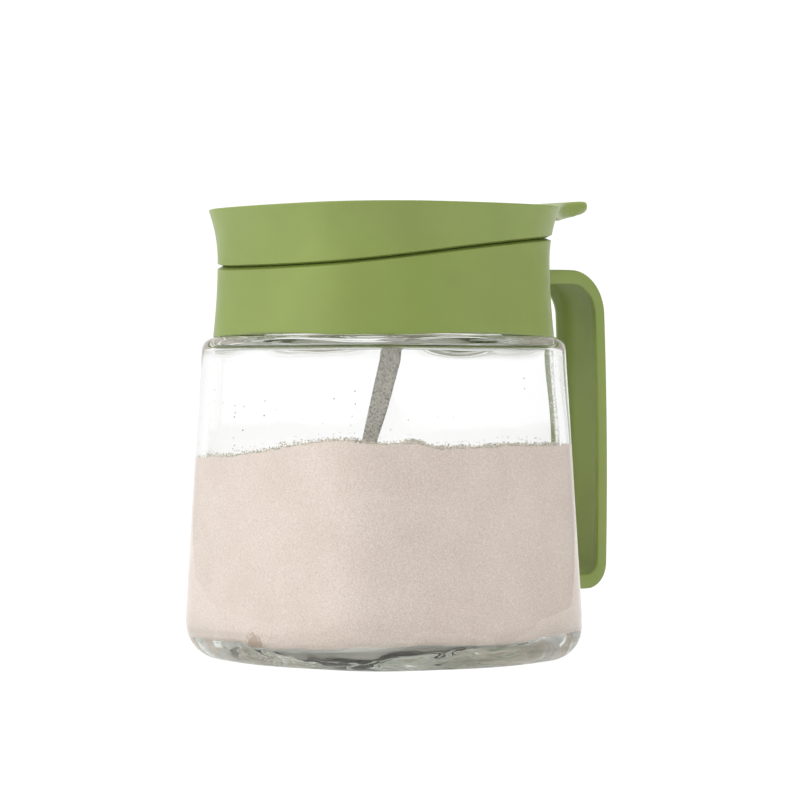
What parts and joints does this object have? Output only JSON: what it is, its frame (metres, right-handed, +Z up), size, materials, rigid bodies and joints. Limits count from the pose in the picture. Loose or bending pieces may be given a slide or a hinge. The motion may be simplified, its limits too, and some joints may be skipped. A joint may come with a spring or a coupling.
{
  "type": "spice jar",
  "caption": "Glass spice jar with a screw-on plastic collar, a side handle, a thumb-tab flip lid and a small spoon standing in powder.",
  "frame": {"origin": "centre of the glass base, on the surface that the jar stands on", "axes": "+Z up along the jar's axis, +X towards the handle and the hinge, -X towards the front of the lid"},
  "size_m": [0.1078, 0.0816, 0.1085],
  "materials": {
    "glass": "clear",
    "powder": "fine grain",
    "clear_plastic": "clear, dusted",
    "green_plastic": "satin",
    "liner_plastic": "translucent white",
    "seal": "soft, milky",
    "steel": "satin"
  },
  "bodies": {
    "jar": {"glass_jar": "glass", "seasoning_fill": "powder"},
    "spoon": {"spoon": "clear_plastic"},
    "neck_seal": {"neck_seal": "seal"},
    "collar": {"collar": "green_plastic", "handle": "green_plastic", "hinge_pin": "steel"},
    "lid": {"lid_shell": "green_plastic", "lid_liner": "liner_plastic", "lid_seal": "seal"}
  },
  "joints": [
    {"name": "spoon_lift", "type": "slide", "parent": "jar", "child": "spoon", "axis": [0.2108, -0.1878, 0.9593], "range_m": [0, 0.005], "deforming": ["seasoning_fill"]},
    {"name": "collar_lift", "type": "slide", "parent": "jar", "child": "neck_seal", "axis": [0, 0, 1], "range_m": [0, 0.004]},
    {"name": "collar_turn", "type": "hinge", "parent": "neck_seal", "child": "collar", "pos_m": [0, 0, 0.088], "axis": [0, 0, 1], "range_deg": [0, 90]},
    {"name": "lid_hinge", "type": "hinge", "parent": "collar", "child": "lid", "pos_m": [0.0382, 0, 0.099], "axis": [0, 1, 0], "range_deg": [0, 32]}
  ],
  "couplings": [
    {"joint": "collar_lift", "follows": "collar_turn", "m_per_rad": 0.0025465}
  ]
}
